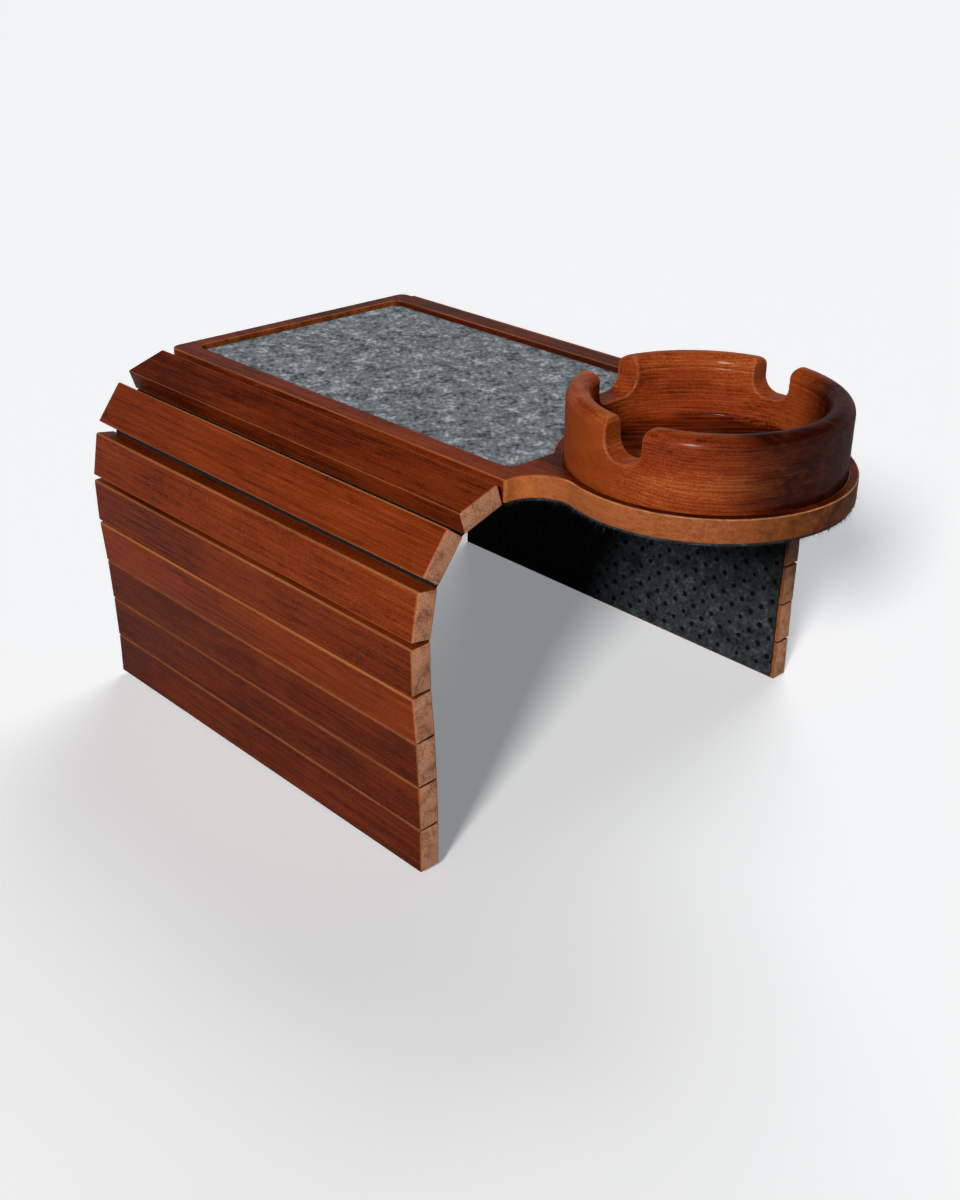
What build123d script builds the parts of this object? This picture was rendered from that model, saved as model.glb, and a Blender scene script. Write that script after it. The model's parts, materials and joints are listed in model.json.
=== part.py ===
from build123d import *
import math
import os

# Sofa arm tray: a rimmed wooden board that lies across a sofa's armrest, a round lobe that
# reaches past the front of the arm and seats a turned bowl, and two slatted flaps that hang
# down the sides of the arm on a felt backing.
# X runs across the arm, Y along it with the lobe at -Y, and Z is up. The origin is the middle
# of the rectangular board, on the felt's free face, where the tray rests on the arm.

# Board
board_width = 160.0
board_length = 248.0
board_thickness = 10.5
far_corner_radius = 5.0
near_corner_radius = 1.6
board_arris_radius = 1.2
board_underside_arris_width = 0.5

# Lobe, a disc about the bowl's axis, with a hollow shoulder on each side
lobe_radius = 64.6
lobe_reach = 39.6
shoulder_flat = 2.9

# Recess in the board's top, and the felt that lines it
rim_side_width = 11.5
rim_near_width = 9.0
rim_far_width = 8.0
recess_depth = 5.0
recess_corner_radius = 6.0
inlay_thickness = 2.0
inlay_clearance = 0.3

# Bowl and the seat that it drops into
seat_depth = 2.5
seat_clearance = 0.4
bowl_radius = 60.0
bowl_height = 33.6
bowl_wall = 11.2
bowl_base_thickness = 4.4
bowl_cove_radius = 2.5
bowl_foot_radius = 0.8

# Rests milled through the bowl's wall, which leave the side over the lobe's tip whole. The bowl
# stands turned a little in its seat, and the rest that faces the board is the widest.
notch_directions = (4.0, 94.0, 184.0)
notch_widths = (18.0, 27.0, 18.0)
notch_depth = 16.5
notch_floor_radius = 7.5
notch_lip_radius = 4.0

# Felt backing, one sheet that bends at each fold, where it is cut here to leave a narrow gap
felt_thickness = 1.2
felt_fold_gap = 0.3
board_felt_margin = 0.6
flap_felt_end_margin = 2.0
flap_felt_hem_margin = 1.0

# Slats
slat_width = 22.3
slat_thickness = 10.5
slat_gap = 0.7
slat_corner_radius = 2.2
slat_face_arris_radius = 2.0
slat_back_arris_radius = 0.4

# How far each slat leans down from the board's plane, from the board outwards, when the tray
# is draped over an arm
left_slat_angles = (18.0, 53.0, 80.0, 91.0, 95.0, 93.0, 92.0, 90.0)
right_slat_angles = (35.0, 53.0, 62.0, 68.0, 90.0, 91.0, 89.0, 90.0)

# How far every cut runs past the surface that it opens
overrun = 1.0

# Levels, from the felt's free face up
board_bottom = felt_thickness
board_top = board_bottom + board_thickness
recess_floor = board_top - recess_depth
seat_floor = board_top - seat_depth
bowl_floor = seat_floor + bowl_base_thickness
bowl_top = seat_floor + bowl_height
bead_radius = bowl_wall / 2
bead_level = bowl_top - bead_radius

# Places in plan
half_width = board_width / 2
near_end = -board_length / 2
far_end = board_length / 2
bowl_axis_y = near_end - lobe_reach
bowl_inner_radius = bowl_radius - bowl_wall
recess_side = half_width - rim_side_width
recess_near = near_end + rim_near_width
recess_far = far_end - rim_far_width
slat_pitch = slat_width + slat_gap
flap_felt_length = board_length - 2 * flap_felt_end_margin
recess_horn = math.sqrt(lobe_radius**2 - (recess_near - bowl_axis_y) ** 2)

# The shoulder is a hollow arc that leaves the near end square on, a short flat in from the
# board's side, and touches the lobe's circle. So its centre lies one shoulder radius beyond the
# near end and both radii from the bowl's axis, which gives the shoulder's radius.
shoulder_x = half_width - shoulder_flat
shoulder_radius = (shoulder_x**2 + lobe_reach**2 - lobe_radius**2) / (2 * (lobe_radius + lobe_reach))
shoulder_y = near_end - shoulder_radius
shoulder_span = lobe_radius + shoulder_radius
touch_x = shoulder_x * lobe_radius / shoulder_span
touch_y = bowl_axis_y + (shoulder_y - bowl_axis_y) * lobe_radius / shoulder_span
shoulder_turn = math.atan2(touch_y - shoulder_y, touch_x - shoulder_x) % (2 * math.pi)
shoulder_middle_turn = (math.pi / 2 + shoulder_turn) / 2
shoulder_middle_x = shoulder_x + shoulder_radius * math.cos(shoulder_middle_turn)
shoulder_middle_y = shoulder_y + shoulder_radius * math.sin(shoulder_middle_turn)

os.makedirs("parts", exist_ok=True)

# Plan of the board and its lobe
with BuildSketch() as board_plan:
    with BuildLine():
        Line((shoulder_x, near_end), (half_width, near_end))
        Line((half_width, near_end), (half_width, far_end))
        Line((half_width, far_end), (-half_width, far_end))
        Line((-half_width, far_end), (-half_width, near_end))
        Line((-half_width, near_end), (-shoulder_x, near_end))
        ThreePointArc(
            (-shoulder_x, near_end), (-shoulder_middle_x, shoulder_middle_y), (-touch_x, touch_y)
        )
        ThreePointArc((-touch_x, touch_y), (0, bowl_axis_y - lobe_radius), (touch_x, touch_y))
        ThreePointArc((touch_x, touch_y), (shoulder_middle_x, shoulder_middle_y), (shoulder_x, near_end))
    make_face()
    fillet(board_plan.vertices().group_by(Axis.Y)[-1], far_corner_radius)
    near_corners = board_plan.vertices().group_by(Axis.X)
    fillet(near_corners[0].sort_by(Axis.Y)[0], near_corner_radius)
    fillet(near_corners[-1].sort_by(Axis.Y)[0], near_corner_radius)

# Plan of the recess, bitten at its near end by the lobe's own circle
with BuildSketch() as recess_plan:
    with BuildLine():
        Line((recess_horn, recess_near), (recess_side, recess_near))
        Line((recess_side, recess_near), (recess_side, recess_far))
        Line((recess_side, recess_far), (-recess_side, recess_far))
        Line((-recess_side, recess_far), (-recess_side, recess_near))
        Line((-recess_side, recess_near), (-recess_horn, recess_near))
        ThreePointArc(
            (-recess_horn, recess_near), (0, bowl_axis_y + lobe_radius), (recess_horn, recess_near)
        )
    make_face()
    recess_sides = recess_plan.vertices().group_by(Axis.X)
    fillet(recess_sides[0] + recess_sides[-1], recess_corner_radius)

# Board, with softened arrises, the recess for the felt and the seat for the bowl
with BuildPart() as tray_board:
    with BuildSketch(Plane.XY.offset(board_bottom)):
        add(board_plan.sketch)
    extrude(amount=board_thickness)
    fillet(tray_board.edges().group_by(Axis.Z)[-1], board_arris_radius)
    chamfer(tray_board.edges().group_by(Axis.Z)[0], board_underside_arris_width)
    with BuildSketch(Plane.XY.offset(recess_floor)):
        add(recess_plan.sketch)
    extrude(amount=recess_depth + overrun, mode=Mode.SUBTRACT)
    with BuildSketch(Plane.XY.offset(seat_floor)):
        with Locations((0, bowl_axis_y)):
            Circle(bowl_radius + seat_clearance)
    extrude(amount=seat_depth + overrun, mode=Mode.SUBTRACT)
tray_board.part.label = "tray_board"
export_step(tray_board.part, "parts/tray_board.step")

# Felt that lines the recess
with BuildPart() as recess_felt:
    with BuildSketch(Plane.XY.offset(recess_floor)):
        add(recess_plan.sketch)
        offset(amount=-inlay_clearance, kind=Kind.INTERSECTION)
    extrude(amount=inlay_thickness)
recess_felt.part.label = "recess_felt"
export_step(recess_felt.part, "parts/recess_felt.step")

# Backing felt under the board and its lobe, carried past the board's sides to the first folds
with BuildPart() as board_felt:
    with BuildSketch():
        add(board_plan.sketch)
        offset(amount=-board_felt_margin, kind=Kind.INTERSECTION)
        Rectangle(board_width + slat_gap - felt_fold_gap, flap_felt_length)
    extrude(amount=felt_thickness)
board_felt.part.label = "board_felt"
export_step(board_felt.part, "parts/board_felt.step")

# Turned bowl with a full-round rim and a coved floor
with BuildPart() as turned_bowl:
    with BuildSketch(Plane.XZ.offset(-bowl_axis_y)) as bowl_section:
        with BuildLine():
            Line((0, seat_floor), (bowl_radius, seat_floor))
            Line((bowl_radius, seat_floor), (bowl_radius, bead_level))
            ThreePointArc(
                (bowl_radius, bead_level),
                (bowl_radius - bead_radius, bowl_top),
                (bowl_inner_radius, bead_level),
            )
            Line((bowl_inner_radius, bead_level), (bowl_inner_radius, bowl_floor))
            Line((bowl_inner_radius, bowl_floor), (0, bowl_floor))
            Line((0, bowl_floor), (0, seat_floor))
        make_face()
        foot_corner = bowl_section.vertices().group_by(Axis.X)[-1].sort_by(Axis.Y)[0]
        cove_corner = bowl_section.vertices().group_by(Axis.X)[1].sort_by(Axis.Y)[0]
        fillet(foot_corner, bowl_foot_radius)
        fillet(cove_corner, bowl_cove_radius)
    revolve(axis=Axis((0, bowl_axis_y, 0), (0, 0, 1)))
    # Each rest is a square-sided trough with a rounded floor and lips that roll into the rim
    for direction, notch_width in zip(notch_directions, notch_widths):
        outwards = (math.cos(math.radians(direction)), math.sin(math.radians(direction)), 0)
        across = (-outwards[1], outwards[0], 0)
        with BuildSketch(Plane(origin=(0, bowl_axis_y, bowl_top), x_dir=across, z_dir=outwards)):
            with Locations((0, -notch_depth / 2)):
                RectangleRounded(notch_width, notch_depth, notch_floor_radius)
            with Locations((0, -notch_depth / 4)):
                Rectangle(notch_width, notch_depth / 2)
            with Locations((0, (overrun - notch_lip_radius) / 2)):
                Rectangle(notch_width + 2 * notch_lip_radius, notch_lip_radius + overrun)
            with Locations(
                (-notch_width / 2 - notch_lip_radius, -notch_lip_radius),
                (notch_width / 2 + notch_lip_radius, -notch_lip_radius),
            ):
                Circle(notch_lip_radius, mode=Mode.SUBTRACT)
        extrude(amount=bowl_radius + overrun, mode=Mode.SUBTRACT)
turned_bowl.part.label = "turned_bowl"
export_step(turned_bowl.part, "parts/turned_bowl.step")


def slat_planes(side, angles):
    """One plane per slat, from the board outwards: X runs down the slat, Z out of its face.

    Each plane's origin is the slat's hinge line, on the felt's free face, midway over the gap.
    """
    planes = []
    x = half_width + slat_gap / 2
    z = 0.0
    for angle in angles:
        across = math.cos(math.radians(angle))
        down = math.sin(math.radians(angle))
        down_slat = (side * across, 0, -down)
        out_of_face = (side * down, 0, across)
        planes.append(Plane(origin=(side * x, 0, z), x_dir=down_slat, z_dir=out_of_face))
        x += slat_pitch * across
        z -= slat_pitch * down
    return planes


def build_slat(plane, name):
    """A bar with rounded corners, its show face rolled over all round and its back just eased."""
    with BuildPart() as slat:
        with BuildSketch(plane.offset(felt_thickness)):
            with Locations(((slat_gap + slat_width) / 2, 0)):
                RectangleRounded(slat_width, board_length, slat_corner_radius)
        extrude(amount=slat_thickness)
        outwards = Axis(plane.origin, plane.z_dir)
        fillet(slat.faces().sort_by(outwards)[-1].edges(), slat_face_arris_radius)
        fillet(slat.faces().sort_by(outwards)[0].edges(), slat_back_arris_radius)
    slat.part.label = name
    export_step(slat.part, f"parts/{name}.step")


def build_slat_felt(plane, felt_end, name):
    """The stretch of backing felt on one slat, from the slat's fold to felt_end."""
    felt_start = felt_fold_gap / 2
    with BuildPart() as felt:
        with BuildSketch(plane):
            with Locations(((felt_start + felt_end) / 2, 0)):
                Rectangle(felt_end - felt_start, flap_felt_length)
        extrude(amount=felt_thickness)
    felt.part.label = name
    export_step(felt.part, f"parts/{name}.step")


# Two flaps of slats, numbered from the board down, with the backing felt cut at each fold
next_fold_end = slat_pitch - felt_fold_gap / 2
hem_end = slat_gap / 2 + slat_width - flap_felt_hem_margin
for flap, side, angles in (("left", -1, left_slat_angles), ("right", 1, right_slat_angles)):
    for number, plane in enumerate(slat_planes(side, angles), start=1):
        felt_end = hem_end if number == len(angles) else next_fold_end
        build_slat(plane, f"{flap}_slat_{number}")
        build_slat_felt(plane, felt_end, f"{flap}_felt_{number}")
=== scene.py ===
import json
import math

import bpy
import numpy as np
from mathutils import Matrix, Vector
from mathutils.geometry import tessellate_polygon


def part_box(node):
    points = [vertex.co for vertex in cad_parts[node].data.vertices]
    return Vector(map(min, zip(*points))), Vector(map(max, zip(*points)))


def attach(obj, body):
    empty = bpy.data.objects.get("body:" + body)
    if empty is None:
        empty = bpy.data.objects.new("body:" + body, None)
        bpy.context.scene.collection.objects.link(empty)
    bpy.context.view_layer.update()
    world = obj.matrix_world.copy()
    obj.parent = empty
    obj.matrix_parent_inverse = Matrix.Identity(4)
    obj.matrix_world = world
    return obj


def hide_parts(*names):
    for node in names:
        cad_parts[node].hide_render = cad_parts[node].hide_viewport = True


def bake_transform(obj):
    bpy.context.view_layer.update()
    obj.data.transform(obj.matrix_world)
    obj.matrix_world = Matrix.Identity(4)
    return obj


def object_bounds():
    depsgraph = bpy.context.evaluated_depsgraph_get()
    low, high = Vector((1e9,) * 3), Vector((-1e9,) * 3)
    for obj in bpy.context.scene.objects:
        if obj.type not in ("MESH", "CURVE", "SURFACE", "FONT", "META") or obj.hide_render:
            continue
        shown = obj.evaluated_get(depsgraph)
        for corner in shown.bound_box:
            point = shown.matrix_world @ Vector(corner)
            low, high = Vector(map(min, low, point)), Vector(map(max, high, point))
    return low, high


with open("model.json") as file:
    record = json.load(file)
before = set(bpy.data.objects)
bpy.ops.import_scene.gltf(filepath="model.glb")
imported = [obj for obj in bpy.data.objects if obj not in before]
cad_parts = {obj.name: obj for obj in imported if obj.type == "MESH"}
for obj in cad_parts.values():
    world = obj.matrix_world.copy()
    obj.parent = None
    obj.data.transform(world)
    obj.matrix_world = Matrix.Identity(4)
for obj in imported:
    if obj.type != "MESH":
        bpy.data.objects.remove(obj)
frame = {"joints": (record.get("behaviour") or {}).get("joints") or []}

# A sofa arm tray in red-brown stained wood: a rimmed board with a felt panel and a round lobe
# that carries a turned bowl, and two flaps of slats on a dark felt backing with grip dots.
# X runs across the arm, Y along it with the lobe at -Y, Z is up, and lengths are in metres.

cad_low, cad_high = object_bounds()
MM = 0.001

# Sizes read from the frame

board_low, board_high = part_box("tray_board")
bowl_low, bowl_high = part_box("turned_bowl")
inlay_low, inlay_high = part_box("recess_felt")
backing_low, backing_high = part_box("board_felt")
half_width = board_high.x
far_end = board_high.y
near_end = -far_end
board_bottom = board_low.z
board_top = board_high.z
bowl_axis_y = (bowl_low.y + bowl_high.y) / 2
bowl_radius = bowl_high.x
seat_floor = bowl_low.z
bowl_top = bowl_high.z
lobe_radius = bowl_axis_y - board_low.y
felt_thickness = backing_high.z
recess_floor = inlay_low.z
inlay_top = inlay_high.z
joints = {joint["name"]: joint for joint in frame["joints"]}

# Sizes of the board

near_corner_radius = 1.6 * MM
far_corner_radius = 5.0 * MM
board_arris_radius = 0.8 * MM
underside_arris_radius = 0.5 * MM
shoulder_flat = 2.9 * MM
shoulder_x = half_width - shoulder_flat
lobe_reach = near_end - bowl_axis_y
shoulder_radius = (shoulder_x**2 + lobe_reach**2 - lobe_radius**2) / (2 * (lobe_radius + lobe_reach))
shoulder_y = near_end - shoulder_radius
lobe_turn = math.degrees(math.atan2(shoulder_y - bowl_axis_y, shoulder_x))
inlay_clearance = 0.3 * MM
recess_side = inlay_high.x + inlay_clearance
recess_near = inlay_low.y - inlay_clearance
recess_far = inlay_high.y + inlay_clearance
recess_corner_radius = 6.0 * MM
recess_arris_radius = 0.9 * MM
seat_clearance = 0.4 * MM
seat_arris_radius = 0.4 * MM
support_width = 0.3 * MM
inlay_edge_radius = 0.5 * MM
pressed_edge_radius = 0.1 * MM

# Sizes of the bowl

bowl_wall = 11.2 * MM
bead_radius = bowl_wall / 2
bead_level = bowl_top - bead_radius
wall_middle = bowl_radius - bead_radius
bowl_inner_radius = bowl_radius - bowl_wall
bowl_floor = seat_floor + 4.4 * MM
bowl_cove_radius = 2.5 * MM
bowl_foot_radius = 0.8 * MM
bowl_pole_radius = 1.0 * MM
notch_floor = bowl_top - 16.5 * MM
notch_floor_radius = 7.5 * MM
notch_lip_radius = 4.0 * MM
notch_lip_rise = 0.4 * MM
notch_arris_radius = 0.9 * MM
quirk_drop = 0.4 * MM
quirk_depth = 0.45 * MM
tool_mark_height = 0.05 * MM
tool_mark_pitch = 2.1 * MM
tool_mark_wander = 2.3 * MM

# Where each rest points, in degrees round the bowl's axis, and half its width
rests = ((4.0, 9.0 * MM), (94.0, 13.5 * MM), (184.0, 9.0 * MM))

# Sizes of the slats and felt

slat_count = 8
slat_width = 22.3 * MM
slat_thickness = 10.5 * MM
slat_gap = 0.7 * MM
slat_pitch = slat_width + slat_gap
slat_length = 2 * far_end
slat_back_arris_radius = 0.4 * MM
slat_face_arris_radius = 1.3 * MM
near_slat_count = 2
near_slat_face_arris_radius = 1.0 * MM
slat_corner_radius = 0.6 * MM
felt_length = slat_length - 4.0 * MM
felt_hem = 1.4 * MM
backing_margin = 0.6 * MM
backing_edge_radius = 0.25 * MM
backing_corner_radius = 0.8 * MM
felt_bend_reach = 2.5 * MM
dot_radius = 1.5 * MM
dot_height = 0.5 * MM
dot_pitch = 13.2 * MM
dot_row_pitch = 5.7 * MM

# How much deeper than the middling tone each part is. On the land round the bowl's seat, on the
# right rim and in the bowl's hollow this is painted shade; elsewhere it is how deep the stain is.

land_shade_depth = 0.34
left_rim_depth = 0.1
right_rim_shade_depth = 0.38
long_wall_depth = 0.2
end_wall_depth = -0.35
hollow_shade_depth = 0.2

# How strongly a dark overlay covers each part, from 0 to 1. On the lobe, the sunk walls and the bowl
# it is painted shade. The slats' darkening is in order from the board, and grows towards their far
# ends. Their stain is half as deep as their darkening is strong.

slat_darkening = (0.36, 0.16, 0.12, 0.26, 0.12, 0.46, 0.5, 0.5)
slat_darkening_growth = 0.1
lobe_painted_shade = 0.8
sunk_wall_painted_shade = 0.6
crown_painted_shade = 0.35
thickest_painted_shade = 0.97

# The side of the lobe and bowl away from the light, where the painted shade is darkest: its middle
# and half its width in degrees round the bowl's axis, and the power that sets how sharply it ends

shaded_side_middle = 283
shaded_side_reach = 54
shaded_side_sharpness = 5

# How far arrises are rubbed, from 0 to 1. On the lobe, the board and the rests the lighter line on
# the arris is also a painted highlight.

lobe_wear_and_highlight = 0.7
board_wear_and_highlight = 0.25
end_wall_wear = 0.2
rest_wear_and_highlight = 0.5
tool_mark_wear = 0.14

# Where each piece was cut from its timber, in metres from the pith, how far the slats' places
# differ, and how much closer the rings lie up the bowl than across it

board_cut = (0.031, 0.0, 0.052)
bowl_cut = (0.02, 0.0, 0.09)
ring_stretch = 1.6
slat_cut = (0.05, 0.0, 0.06)
slat_cut_spread = (0.03, 0.4, 0.02)


def smooth_noise(points, wavelength, seed, count=12, lowest=0.6, highest=1.7, gain=1.8):
    """Smooth random bumps from -1 to 1: the mean of sines that cross the points in random directions.

    Their frequencies lie between two shares of one wave per wavelength, and gain makes up for
    the height that the mean takes off.
    """
    draw = np.random.default_rng(seed)
    directions = draw.normal(size=(count, points.shape[-1]))
    directions /= np.linalg.norm(directions, axis=1, keepdims=True)
    waves = directions * (2 * math.pi / wavelength) * draw.uniform(lowest, highest, (count, 1))
    phases = draw.uniform(0, 2 * math.pi, count)
    return np.sin(points @ waves.T + phases).mean(axis=-1) * gain


# Meshes from arrays


def band_faces(rows, columns):
    """Quads of a grid of points, row by row, joined round its columns.

    A quad runs along the row, then on to the next row, so its face looks to the right of the
    way from row to row when the row runs counterclockwise.
    """
    row, column = np.meshgrid(np.arange(rows - 1), np.arange(columns), indexing="ij")
    along = (column + 1) % columns
    here, beyond = row * columns, (row + 1) * columns
    quads = [here + column, here + along, beyond + along, beyond + column]
    return np.stack(quads, axis=-1).reshape(-1, 4)


def tube_faces(rows, columns, count=1):
    """Faces of tubes, one after another in a list of points: their bands, and a face at each end."""
    size = rows * columns
    start = (np.arange(count) * size)[:, None]
    first = start + np.arange(columns)
    sides = (band_faces(rows, columns) + start[:, :, None]).reshape(-1, 4)
    return sides.tolist() + first[:, ::-1].tolist() + (first + size - columns).tolist()


def joined(parts):
    """One (points, faces, wear) from several, with the faces renumbered."""
    points, faces, wear_and_highlight, count = [], [], [], 0
    for part_points, part_faces, part_wear_and_highlight in parts:
        points.append(part_points)
        wear_and_highlight.append(part_wear_and_highlight)
        faces.extend([[corner + count for corner in face] for face in part_faces])
        count += len(part_points)
    return np.concatenate(points), faces, np.concatenate(wear_and_highlight)


def filled(loops, upwards):
    """Triangles that fill flat loops, the first one less the others, facing up or down."""
    triangles = np.array(tessellate_polygon([[tuple(point) for point in loop] for loop in loops]))
    flat = np.concatenate(loops)[:, :2]
    a, b, c = flat[triangles[:, 0]], flat[triangles[:, 1]], flat[triangles[:, 2]]
    turn = (b[:, 0] - a[:, 0]) * (c[:, 1] - a[:, 1]) - (b[:, 1] - a[:, 1]) * (c[:, 0] - a[:, 0])
    wrong = (turn > 0) != upwards
    triangles[wrong] = triangles[wrong][:, ::-1]
    return triangles[np.abs(turn) > 0]


def capped(points, faces, loops):
    """The faces, and more that fill flat loops of points, each facing up or down."""
    for loop, upwards in loops:
        faces = faces + loop[filled([points[loop]], upwards)].tolist()
    return faces


def slab_faces(points, faces, line):
    """Faces of an upright wall whose first and last rows, of line points each, are filled flat."""
    bottom, top = np.arange(line), np.arange(len(points) - line, len(points))
    return capped(points, faces.tolist(), ((bottom, False), (top, True)))


def flipped(faces, turn_over=True):
    """The faces turned over, or left as they are where turn_over is false."""
    return [face[::-1] for face in faces] if turn_over else faces


def plain_felt(places):
    """What felt with no painted gap shade keeps for its points: their places on the flat sheet."""
    return {"cloth": places, "painted_gap_shade": np.zeros(len(places))}


def new_object(name, data):
    """An object for its data, linked to the scene."""
    made = bpy.data.objects.new(name, data)
    bpy.context.scene.collection.objects.link(made)
    return made


def make_piece(name, points, faces, body, material, slot, replaces=(), sharp=40, **kept):
    """A mesh object with its material, that rides on a body, or stays baked where it is when given two. slot
    is not used.

    Edges of sharp degrees or more stay sharp, and none do where sharp is 0. What else is given is
    kept for each point, for the material to read. On wood, timber is its place in the plank, wear is
    how far an arris is rubbed and lit with a painted highlight, stain_and_painted_shade_depth is how much
    darker than most it is from its stain and from painted shade, and painted_shade_and_darkening is how
    strongly a dark overlay of painted shade and darkening lies on it. On felt, cloth is its place on the flat
    sheet, and glued is how far painted shade darkens the side that shows in the gaps.
    """
    mesh = bpy.data.meshes.new(name)
    mesh.from_pydata(points.tolist(), [], [list(map(int, face)) for face in faces])
    mesh.update()
    mesh.shade_smooth()
    if sharp:
        mesh.set_sharp_from_angle(angle=math.radians(sharp))
    for label, values in kept.items():
        values = np.asarray(values, np.float32)
        kind, field = ("FLOAT", "value") if values.ndim == 1 else ("FLOAT_VECTOR", "vector")
        mesh.attributes.new(label, kind, "POINT").data.foreach_set(field, values.ravel())
    mesh.materials.append(material)
    piece = new_object(name, mesh)
    if isinstance(body, str):
        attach(piece, body)
    else:
        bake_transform(piece)
    if replaces:
        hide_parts(*replaces)
    return piece


# Outlines in plan


def arc(centre, radius, start, end, count):
    """Points along a circular arc between two angles in degrees."""
    turn = np.radians(np.linspace(start, end, count))
    return np.stack([centre[0] + radius * np.cos(turn), centre[1] + radius * np.sin(turn)], axis=1)


def mirrored(points):
    """The same stretch of outline on the other side of the Y axis, run the other way."""
    return points[::-1] * (-1, 1)


def board_outline(inset, side=half_width, near_corner=near_corner_radius):
    """The board and its lobe in plan, drawn in by inset, counterclockwise from the near right corner.

    Straight sides join corner arcs. The near end runs through a hollow shoulder arc into the
    lobe's circle on each side.
    """
    far_corner = far_corner_radius
    near_right = arc((side - near_corner, near_end + near_corner), near_corner - inset, -90, 0, count=8)
    far_right = arc((side - far_corner, far_end - far_corner), far_corner - inset, 0, 90, count=14)
    shoulder = arc((shoulder_x, shoulder_y), shoulder_radius + inset, 180 + lobe_turn, 90, count=28)
    lobe = arc((0, bowl_axis_y), lobe_radius - inset, 180 - lobe_turn, 360 + lobe_turn, count=150)
    right = [near_right, far_right]
    left = [mirrored(far_right), mirrored(near_right), mirrored(shoulder)]
    return np.concatenate(right + left + [lobe[1:-1], shoulder])


def recess_outline(outset):
    """The recess in plan, let out by outset: a rectangle with round corners, bitten by the lobe's circle."""
    corner = recess_corner_radius
    near_right = arc((recess_side - corner, recess_near + corner), corner + outset, -90, 0, count=10)
    far_right = arc((recess_side - corner, recess_far - corner), corner + outset, 0, 90, count=10)
    bite_radius = lobe_radius - outset
    rise = recess_near - outset - bowl_axis_y
    horn_turn = math.degrees(math.asin(rise / bite_radius))
    bite = arc((0, bowl_axis_y), bite_radius, 180 - horn_turn, horn_turn, count=60)
    return np.concatenate([near_right, far_right, mirrored(far_right), mirrored(near_right), bite])


def seat_outline(outset):
    """The bowl's seat in plan, let out by outset: a circle about the bowl's axis."""
    return arc((0, bowl_axis_y), bowl_radius + seat_clearance + outset, 0, 360, count=181)[:-1]


def round_edge(radius, steps=6):
    """Offsets, drops, and rubbing with a painted highlight, of a quarter-round arris, from the flat beside it
    to the wall below.
    """
    turn = np.radians(np.linspace(90, 0, steps))
    offsets = np.concatenate([[radius + support_width], radius - radius * np.cos(turn)])
    drops = np.concatenate([[0], radius - radius * np.sin(turn)])
    wear_and_highlight = np.concatenate([[0], np.sin(2 * turn) ** 2])
    return offsets, drops, wear_and_highlight


def wall_profile(bottom, top, lower_radius, upper_radius):
    """Insets, heights and wear of an upright wall from its lower arris to its upper arris."""
    low_inset, low_drop, low_wear_and_highlight = round_edge(lower_radius)
    high_inset, high_drop, high_wear_and_highlight = round_edge(upper_radius)
    insets = np.concatenate([low_inset, high_inset[::-1]])
    heights = np.concatenate([bottom + low_drop, top - high_drop[::-1]])
    return insets, heights, np.concatenate([low_wear_and_highlight, high_wear_and_highlight[::-1]])


def raised(outline, height):
    """An outline in plan, lifted to a height."""
    return np.column_stack([outline, np.full(len(outline), height)])


def swept(outline_at, insets, heights, wear_and_highlight):
    """A wall whose rows are the outline at each inset and height, as (points, faces, wear)."""
    rows = [raised(outline_at(inset), height) for inset, height in zip(insets, heights)]
    columns = len(rows[0])
    return np.concatenate(rows), band_faces(len(rows), columns), np.repeat(wear_and_highlight, columns)


def sunk_wall(outline_at, arris_radius, floor):
    """A wall from a round arris at the board's top down to a sunk floor, as (points, faces, wear)."""
    offsets, drops, wear_and_highlight = round_edge(arris_radius)
    offsets = np.concatenate([offsets, [0, -support_width]])
    heights = np.concatenate([board_top - drops, [floor, floor]])
    return swept(outline_at, offsets, heights, np.concatenate([wear_and_highlight, [0, 0]]))


# Node helpers


def linear(code):
    """A colour written as sRGB hex, in the linear values that a shader takes."""
    channels = [int(code[i : i + 2], 16) / 255 for i in (0, 2, 4)]
    return [c / 12.92 if c <= 0.04045 else ((c + 0.055) / 1.055) ** 2.4 for c in channels] + [1.0]


def feed(tree, node, values):
    """Links or sets a node's inputs by index or name."""
    for key, value in values.items():
        if isinstance(value, bpy.types.NodeSocket):
            tree.links.new(value, node.inputs[key])
        else:
            node.inputs[key].default_value = value


def place(tree, kind, values=None, **settings):
    """A shader node with its settings, and with its inputs linked or set."""
    made = tree.nodes.new(kind)
    for name, value in settings.items():
        setattr(made, name, value)
    feed(tree, made, values or {})
    return made


def sums(tree, operation, first, second, third=None):
    """One arithmetic step on values."""
    values = {0: first, 1: second}
    if third is not None:
        values[2] = third
    return place(tree, "ShaderNodeMath", values, operation=operation).outputs[0]


def total(tree, start, parts):
    """A start value, plus each part's value less its middle, times its share."""
    for value, middle, share in parts:
        apart = sums(tree, "SUBTRACT", value, middle) if middle else value
        start = sums(tree, "MULTIPLY_ADD", apart, share, start)
    return start


def stretched(tree, vector, scale):
    """Coordinates multiplied by a scale along each axis: a pattern is drawn out along the smallest."""
    return place(tree, "ShaderNodeVectorMath", {0: vector, 1: scale}, operation="MULTIPLY").outputs[0]


def turned(tree, vector, angle):
    """Coordinates turned about Z by an angle in degrees."""
    values = {"Vector": vector, "Angle": math.radians(angle)}
    return place(tree, "ShaderNodeVectorRotate", values).outputs[0]


def noise(tree, vector, scale, detail, roughness=0.55, distortion=0.0):
    """Noise from 0 to 1 on coordinates, whose scale is one number or one for each axis."""
    if isinstance(scale, tuple):
        vector, scale = stretched(tree, vector, scale), 1.0
    values = {"Vector": vector, "Scale": scale, "Detail": detail, "Roughness": roughness}
    values["Distortion"] = distortion
    return place(tree, "ShaderNodeTexNoise", values).outputs["Fac"]


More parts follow.
